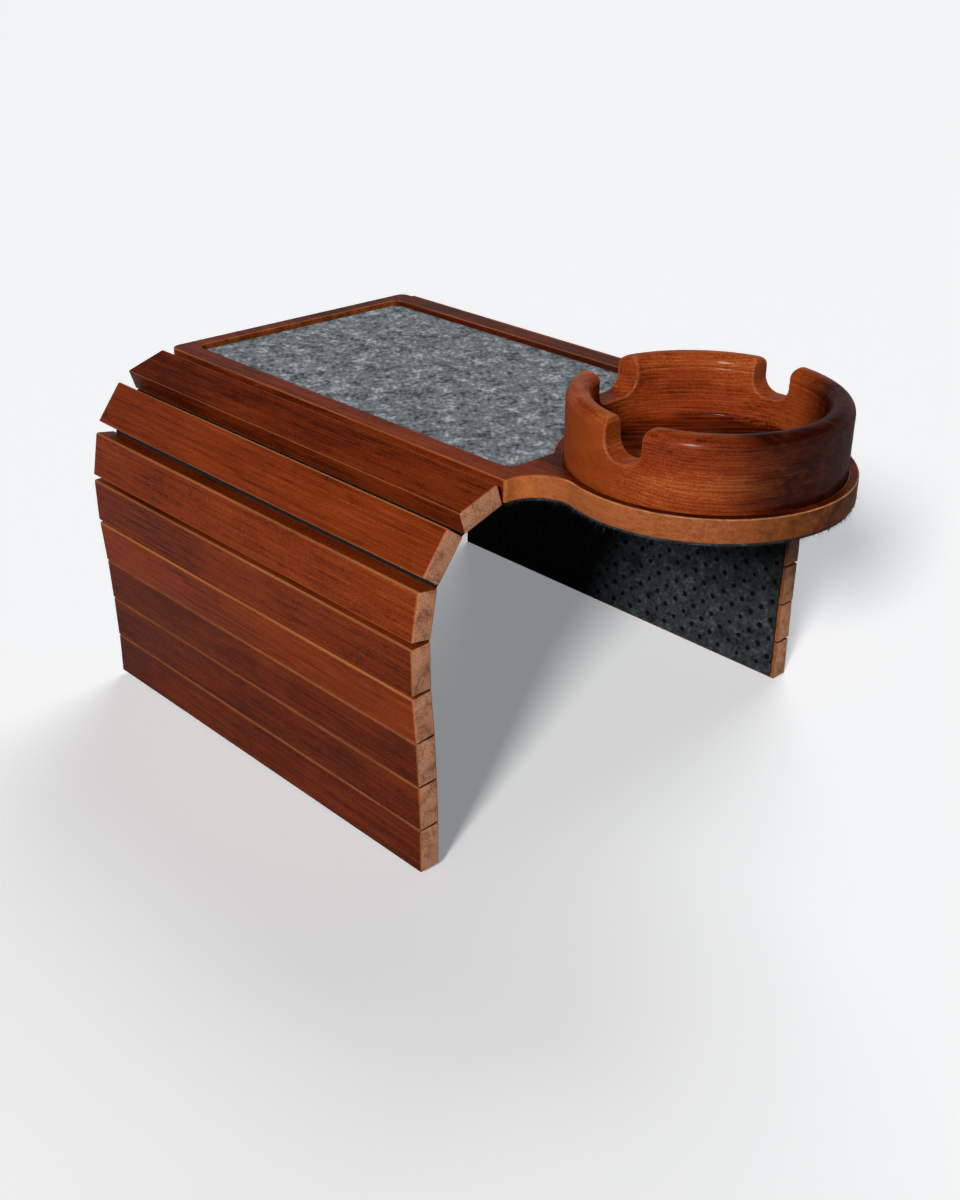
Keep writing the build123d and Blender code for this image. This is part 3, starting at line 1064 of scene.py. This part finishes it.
def build_slat(flap, side, number, hinge, lean):
    """One slat: its outline swept up a wall with a soft back arris and a rolled face arris, closed flat.

    The face arris shrinks, in inset and drop alike, from the edge nearest the board to the far
    edge. The back has no stain where the felt doesn't cover it, and the face arris is rubbed and
    carries a painted highlight. Each slat is darkened by its own amount, a little more towards the
    far end: its stain is deepened, and a dark overlay twice as strong lies on all but its own ends.
    """
    middle_share, lean_share = 0.72, 0.28
    end_skin = 0.05 * MM
    arris = near_slat_face_arris_radius if number <= near_slat_count else slat_face_arris_radius
    insets, heights, wear_and_highlight = wall_profile(0, slat_thickness, slat_back_arris_radius, arris)
    half = len(insets) // 2
    insets = np.insert(insets, half, 0)
    heights = np.insert(heights, half, slat_back_arris_radius + support_width)[:, None]
    bare_and_highlight = np.where(np.arange(len(insets)) < half, 1.0, np.insert(wear_and_highlight, half, 0))
    outline = slat_outline(0)
    outwards = (outline - slat_outline(MM)) / MM
    size = middle_share - lean_share * outwards[:, 0]
    size = np.where(np.arange(len(insets))[:, None] > half, size, 1.0)
    height = np.where(size < 1, slat_thickness - (slat_thickness - heights) * size, heights)
    plan = outline - outwards * (insets[:, None] * size)[:, :, None]
    points = np.concatenate([plan, height[:, :, None]], axis=2).reshape(-1, 3)
    faces = flipped(tube_faces(len(insets), len(outline)), side < 0)
    down = points[:, 0] + (slat_gap + slat_width) / 2
    placed = on_slat(hinge, lean, side, down, points[:, 1], points[:, 2] + felt_thickness)
    shift = np.random.default_rng(40 * number + side).uniform(-1, 1, 3) * slat_cut_spread + slat_cut
    depth = (slat_darkening[number - 1] + slat_darkening_growth * points[:, 1] / far_end) / 2
    values = {
        "timber": points + shift,
        "wear_and_highlight": np.repeat(bare_and_highlight, len(outline)),
        "stain_and_painted_shade_depth": depth,
        "painted_shade_and_darkening": 2 * depth * (np.abs(points[:, 1]) < slat_length / 2 - end_skin),
    }
    name, body = f"{flap}_slat_{number}", f"{flap}_flap_{number}"
    make_piece(f"{name}_bar", placed, faces, body, slat_wood, "slat_wood", [name], **values)


def chain_at(hinges, leans, down):
    """Place and lean on the felt's free face at distances down the flap from its first fold.

    The line runs straight down each slat, and turns through a short arc about each fold: within
    the arc the lean grows evenly, and the place is the integral of its direction.
    """
    number = np.clip(np.round(down / slat_pitch).astype(int), 0, slat_count - 1)
    before = np.where(number > 0, leans[np.maximum(number, 1) - 1], 0.0)
    after = leans[number]
    local = down - number * slat_pitch
    fold = after - before
    radius = felt_bend_reach / np.tan(fold / 2)
    share = np.clip((local / felt_bend_reach + 1) / 2, 0, 1)
    lean = before + fold * share
    start = hinges[number] - felt_bend_reach * np.stack([np.cos(before), -np.sin(before)], axis=1)
    bend = radius[:, None] * np.stack([np.sin(lean) - np.sin(before), np.cos(lean) - np.cos(before)], axis=1)
    past = np.maximum(local - felt_bend_reach, 0) + np.minimum(local + felt_bend_reach, 0)
    place_at = start + bend + past[:, None] * np.stack([np.cos(lean), -np.sin(lean)], axis=1)
    return place_at, lean


def on_felt(hinges, leans, side, down, along, out):
    """Points given down the flap's felt, along it and out from its free face."""
    line, lean = chain_at(hinges, leans, down)
    x = line[:, 0] + out * np.sin(lean)
    z = line[:, 1] + out * np.cos(lean)
    return np.stack([side * x, along, z], axis=1)


def felt_block(down, along):
    """A felt strip in its own flat coordinates, as a closed tube of rows.

    Its cross-section goes round a thin rectangle with soft corners, and is carried along the strip.
    """
    corner_share = 0.3
    ease = felt_thickness * corner_share
    low, high = down[0], down[-1]
    back = np.stack([down, np.full(len(down), felt_thickness)], axis=1)
    front = np.stack([down[::-1], np.zeros(len(down))], axis=1)
    end = np.array([[high, felt_thickness - ease], [high, ease]])
    start = np.array([[low, ease], [low, felt_thickness - ease]])
    ring = np.concatenate([back, end, front, start])
    rows, columns = len(along), len(ring)
    places = [np.tile(ring[:, 0], rows), np.repeat(along, columns), np.tile(ring[:, 1], rows)]
    return np.stack(places, axis=1), tube_faces(rows, columns)


def dot_lattice(low, high, half_long, seed, scatter=0.12 * MM, spread=0.15):
    """Middles and radii of the grip dots between two distances down the felt.

    The rows are in step over the whole flap, every other one shifted by half a pitch. Each dot is
    a little off its place, and its radius is off by up to the spread.
    """
    first, last = math.ceil(low / dot_row_pitch), math.ceil(high / dot_row_pitch)
    count = int(half_long / dot_pitch)
    rows, columns = np.meshgrid(np.arange(first, last), np.arange(-count, count + 1), indexing="ij")
    along = (columns + np.where(rows % 2, 0.5, 0.0)) * dot_pitch
    down = rows * dot_row_pitch
    draw = np.random.default_rng(seed)
    middles = np.stack([down.ravel(), along.ravel()], axis=1)
    middles += draw.normal(0, scatter, middles.shape)
    radii = dot_radius * draw.uniform(1 - spread, 1 + spread, len(middles))
    keep = np.abs(middles[:, 1]) < half_long - dot_radius
    return middles[keep], radii[keep]


def dot_domes(middles, radii):
    """Low domes on a plane: rings of ten points that shrink as they rise, closed at both ends."""
    turn = np.radians(np.arange(0, 360, 36))
    rings = np.array([[1.0, -0.3], [0.97, 0.5], [0.75, 0.9], [0.38, 1.0]])
    circle = np.stack([np.cos(turn), np.sin(turn)], axis=1)
    unit = (rings[:, :1, None] * circle).reshape(-1, 2)
    rise = np.repeat(rings[:, 1], len(turn)) * dot_height
    flat = (middles[:, None, :] + radii[:, None, None] * unit[None]).reshape(-1, 2)
    points = np.column_stack([flat, -np.tile(rise, len(middles))])
    return points, flipped(tube_faces(len(rings), len(turn), len(middles)))


def build_flap_felt(flap, side, hinges, leans):
    """The flap's backing as sheets from mid slat to mid slat, each bending at one fold, with its dots.

    The felt is a little lumpy, and ragged at its ends. Its side on the slats is darkened with
    painted shade, which shows in the gaps between the slats.
    """
    lump_height, lump_length = 0.05 * MM, 5 * MM
    ragged_depth, ragged_length, ragged_reach = 0.35 * MM, 6 * MM, 3 * MM
    half_long = felt_length / 2
    flap_end = (slat_count - 1) * slat_pitch + slat_gap / 2 + slat_width - felt_hem
    along = np.linspace(-half_long, half_long, 123)
    for number in range(1, slat_count + 1):
        fold = (number - 1) * slat_pitch
        low = -felt_bend_reach if number == 1 else fold - slat_pitch / 2
        high = flap_end if number == slat_count else fold + slat_pitch / 2
        bend = np.linspace(fold - felt_bend_reach, fold + felt_bend_reach, 9)
        down = np.concatenate([np.linspace(low, bend[0], 6), bend, np.linspace(bend[-1], high, 9)])
        flat, faces = felt_block(np.unique(down.round(7)), along)
        lumps = smooth_noise(flat[:, :2] + (0.3 * number, 0), lump_length, 5) * lump_height
        edge = np.clip((np.abs(flat[:, 1]) - half_long + ragged_reach) / ragged_reach, 0, 1)
        edge *= ragged_depth * np.sign(flat[:, 1])
        ragged = smooth_noise(flat[:, :1], ragged_length, 7 + side) * edge
        placed = on_felt(hinges, leans, side, flat[:, 0], flat[:, 1] + ragged, flat[:, 2] + lumps)
        faces = flipped(faces, side > 0)
        parent = "board" if number == 1 else f"{flap}_flap_{number - 1}"
        child = f"{flap}_flap_{number}"
        ends = on_felt(hinges, leans, side, bend[[0, -1]], np.zeros(2), np.zeros(2))
        bends = (parent, child, ends[0], ends[1])
        name, replaced = f"{flap}_backing_{number}", [f"{flap}_felt_{number}"]
        # The felt's side on the slats gets painted shade, which shows in the gaps between them
        kept = {"cloth": flat + (0, 0.5 * side, 0), "painted_gap_shade": flat[:, 2] > felt_thickness / 2}
        sheet = make_piece(name, placed, faces, bends, backing_felt, "backing_felt", replaced, **kept)
        middles, radii = dot_lattice(low, high, half_long, 11 * number)
        on_sheet = middles[:, 0] < flap_end - dot_radius
        flat, faces = dot_domes(middles[on_sheet], radii[on_sheet])
        placed = on_felt(hinges, leans, side, flat[:, 0], flat[:, 1], flat[:, 2])
        faces = flipped(faces, side < 0)
        name = f"{flap}_grip_dots_{number}"
        dots = make_piece(name, placed, faces, bends, grip_rubber, "grip_dots", sharp=50)


def build_board_backing():
    """The backing under the board and lobe, cut to their outline a little small, and its dots."""
    side = half_width + slat_gap / 2 - felt_bend_reach + backing_margin
    corner = backing_corner_radius + backing_margin
    dot_margin = 3 * MM

    def outline(inset):
        return board_outline(backing_margin + inset, side, corner)

    insets, heights, wear_and_highlight = wall_profile(0, felt_thickness, backing_edge_radius, pressed_edge_radius)
    points, faces, _ = swept(outline, insets, heights, wear_and_highlight)
    faces = slab_faces(points, faces, len(outline(0)))
    kept = plain_felt(points)
    sheet = make_piece(
        "board_backing", points, faces, "board", backing_felt, "backing_felt", ["board_felt"], **kept
    )
    reach = half_width - felt_bend_reach - dot_radius
    middles, radii = dot_lattice(-reach, reach, -backing_low.y, 3)
    on_board = (np.abs(middles[:, 1]) < far_end - dot_margin) & (middles[:, 1] > near_end)
    from_axis = np.hypot(middles[:, 0], middles[:, 1] - bowl_axis_y)
    keep = on_board | (from_axis < lobe_radius - dot_margin)
    flat, faces = dot_domes(middles[keep], radii[keep])
    dots = make_piece("board_grip_dots", flat, faces, "board", grip_rubber, "grip_dots", sharp=50)
    pieces = [dots, build_fringe()]


def build_fringe():
    """Loose fibres round the ends and lobe of the backing: three-sided strands that taper as they droop.

    A strand's middle line leaves the felt's edge outwards, and sways and sinks with the square of
    the way along it.
    """
    count, rings, corners = 2600, 3, 3
    strand_radius, tip_share, mean_length = 0.085 * MM, 0.25, 1.14 * MM
    draw = np.random.default_rng(17)
    edge = board_outline(backing_margin)
    ahead = np.roll(edge, -1, axis=0) - edge
    lengths = np.linalg.norm(ahead, axis=1)
    reached = np.cumsum(lengths * (np.abs(edge[:, 1]) > far_end - MM))
    segment = np.searchsorted(reached, draw.uniform(0, reached[-1], count))
    root = edge[segment] + ahead[segment] * draw.uniform(0, 1, (count, 1))
    root = np.column_stack([root, draw.uniform(0.1, 0.9, count) * felt_thickness])
    along = np.column_stack([ahead[segment] / lengths[segment, None], np.zeros(count)])
    outwards = along[:, [1, 0, 2]] * (1, -1, 0)
    way = np.linspace(0, 1, rings)[None, :, None]
    size = draw.gamma(3.0, mean_length / 3, (count, 1, 1))
    out = size * draw.uniform(0.2, 0.7, (count, 1, 1))
    droop = size * draw.uniform(0.1, 1.0, (count, 1, 1))
    sway = size * draw.normal(0, 0.5, (count, 1, 1))
    up = np.array([0, 0, 1.0])
    bent = along[:, None] * sway - up * droop
    line = root[:, None] + outwards[:, None] * out * way + bent * way**2
    across = outwards[:, None] * droop + up * out
    across /= np.linalg.norm(across, axis=2, keepdims=True)
    turn = np.radians([0, 120, 240])
    radius = (strand_radius * (1 - (1 - tip_share) * way))[:, :, None]
    ring = along[:, None, None] * np.cos(turn)[:, None] + across[:, None] * np.sin(turn)[:, None]
    points = (line[:, :, None] + ring * radius).reshape(-1, 3)
    faces = tube_faces(rings, corners, count)
    kept = plain_felt(points)
    return make_piece("felt_fringe", points, faces, "board", backing_felt, "backing_felt", sharp=0, **kept)


for flap, side in (("left", -1), ("right", 1)):
    hinges, leans = slat_places(flap, side)
    for number in range(1, slat_count + 1):
        build_slat(flap, side, number, hinges[number - 1], leans[number - 1])
    build_flap_felt(flap, side, hinges, leans)
build_board_backing()


# Floor, light and camera

floor_half_width = 12.0
backdrop_radius = 11.9
backdrop_height = 5.5
stage_grey = (0.9, 0.9, 0.9, 1)
horizon_white = (0.9, 0.91, 0.93, 1)
floor_under_light = (0.1, 0.1, 0.1, 1)
floor_glow = (0.24, 0.25, 0.26, 1)


def seen_rays(tree):
    """One on rays that show a surface, straight on, in a gloss or through glass, and zero on the rest."""
    path = tree.nodes.new("ShaderNodeLightPath").outputs
    seen = sums(tree, "MAXIMUM", path["Is Camera Ray"], path["Is Glossy Ray"])
    return sums(tree, "MAXIMUM", seen, path["Is Transmission Ray"])


def build_floor():
    """A wide floor under the flaps' lower edges, white to the eye but dim to the light it throws back."""
    corners = np.array([(-1, -1), (1, -1), (1, 1), (-1, 1)]) * floor_half_width
    mesh = bpy.data.meshes.new("floor")
    mesh.from_pydata(raised(corners, cad_low.z).tolist(), [], [(0, 1, 2, 3)])
    material, tree, shader = new_material("pale floor", stage_grey)
    seen = seen_rays(tree)
    colour = mixed(tree, seen, floor_under_light, horizon_white)
    glow = mixed(tree, seen, (0, 0, 0, 1), floor_glow)
    feed(tree, shader, {"Base Color": colour, "Emission Color": glow})
    shader.inputs["Emission Strength"].default_value = 1.0
    shader.inputs["Roughness"].default_value = 0.9
    shader.inputs["Specular IOR Level"].default_value = 0.1
    mesh.materials.append(material)
    floor = new_object("floor", mesh)


def build_backdrop():
    """A white wall far round the floor, which shows at the horizon. It throws no light and no shadow."""
    ring = arc((0, 0), backdrop_radius, 0, 360, count=65)[:-1]
    rows = np.concatenate([raised(ring, cad_low.z - 0.1), raised(ring, backdrop_height)])
    mesh = bpy.data.meshes.new("backdrop")
    mesh.from_pydata(rows.tolist(), [], band_faces(2, len(ring))[:, ::-1].tolist())
    material, tree, shader = new_material("backdrop", stage_grey)
    tree.links.new(seen_rays(tree), shader.inputs["Emission Strength"])
    shader.inputs["Emission Color"].default_value = horizon_white
    shader.inputs["Base Color"].default_value = (0, 0, 0, 1)
    shader.inputs["Specular IOR Level"].default_value = 0.0
    mesh.materials.append(material)
    wall = new_object("backdrop", mesh)
    wall.visible_shadow = False
    wall.visible_diffuse = False


def build_world():
    """A dark room with a dim ceiling: the light grows from the horizon up to straight overhead."""
    world = bpy.data.worlds.new("studio")
    bpy.context.scene.world = world
    world.use_nodes = True
    tree = world.node_tree
    direction = tree.nodes.new("ShaderNodeTexCoord").outputs["Generated"]
    up = place(tree, "ShaderNodeSeparateXYZ", {0: direction}).outputs[2]
    ceiling = band(tree, up, 0.3, 1.0, to_low=0.06, to_high=0.3)
    tree.links.new(ceiling, tree.nodes["Background"].inputs["Strength"])


def build_light(name, azimuth, elevation, strength, width, colour):
    """A far soft lamp that shines on the tray from an azimuth and elevation. Its width is in degrees too."""
    lamp = bpy.data.lights.new(name, "SUN")
    lamp.energy = strength
    lamp.angle = math.radians(width)
    lamp.color = colour
    a, e = math.radians(azimuth), math.radians(elevation)
    away = np.array([math.cos(a) * math.cos(e), math.sin(a) * math.cos(e), math.sin(e)])
    holder = new_object(name, lamp)
    holder.matrix_world = facing_matrix(away * 2, -away)
    return holder


def facing_matrix(position, forward, roll=0.0):
    """Place and turn of what looks along forward with its top up, rolled about its line of sight."""
    forward = np.array(forward, float) / np.linalg.norm(forward)
    right = np.cross(forward, (0, 0, 1))
    right /= np.linalg.norm(right)
    up = np.cross(right, forward)
    rolled_right = math.cos(roll) * right + math.sin(roll) * up
    rolled_up = math.cos(roll) * up - math.sin(roll) * right
    columns = np.column_stack([rolled_right, rolled_up, -forward, position])
    return Matrix(np.vstack([columns, (0, 0, 0, 1)]).tolist())


def build_camera():
    """The camera at the photograph's place: 44 degrees round from the lobe's end and 27 degrees down."""
    place_at = (-0.47224, -0.51618, 0.23635)
    yaw, pitch, roll = np.radians([-44.011, 26.762, 0.779])
    forward = (-math.sin(yaw) * math.cos(pitch), math.cos(yaw) * math.cos(pitch), -math.sin(pitch))
    lens = bpy.data.cameras.new("camera")
    lens.lens = 43.70
    lens.sensor_width = 36.0
    lens.clip_start = 0.01
    camera = new_object("camera", lens)
    camera.matrix_world = facing_matrix(place_at, forward, roll)
    bpy.context.scene.camera = camera


build_floor()
build_world()
build_backdrop()
build_light("key", azimuth=205, elevation=28, strength=3.0, width=10, colour=(1.0, 0.97, 0.93))
fill = build_light("fill", azimuth=25, elevation=40, strength=1.4, width=40, colour=(0.98, 0.99, 1.0))
fill.visible_glossy = False
build_camera()
bpy.context.scene.view_settings.view_transform = "Standard"
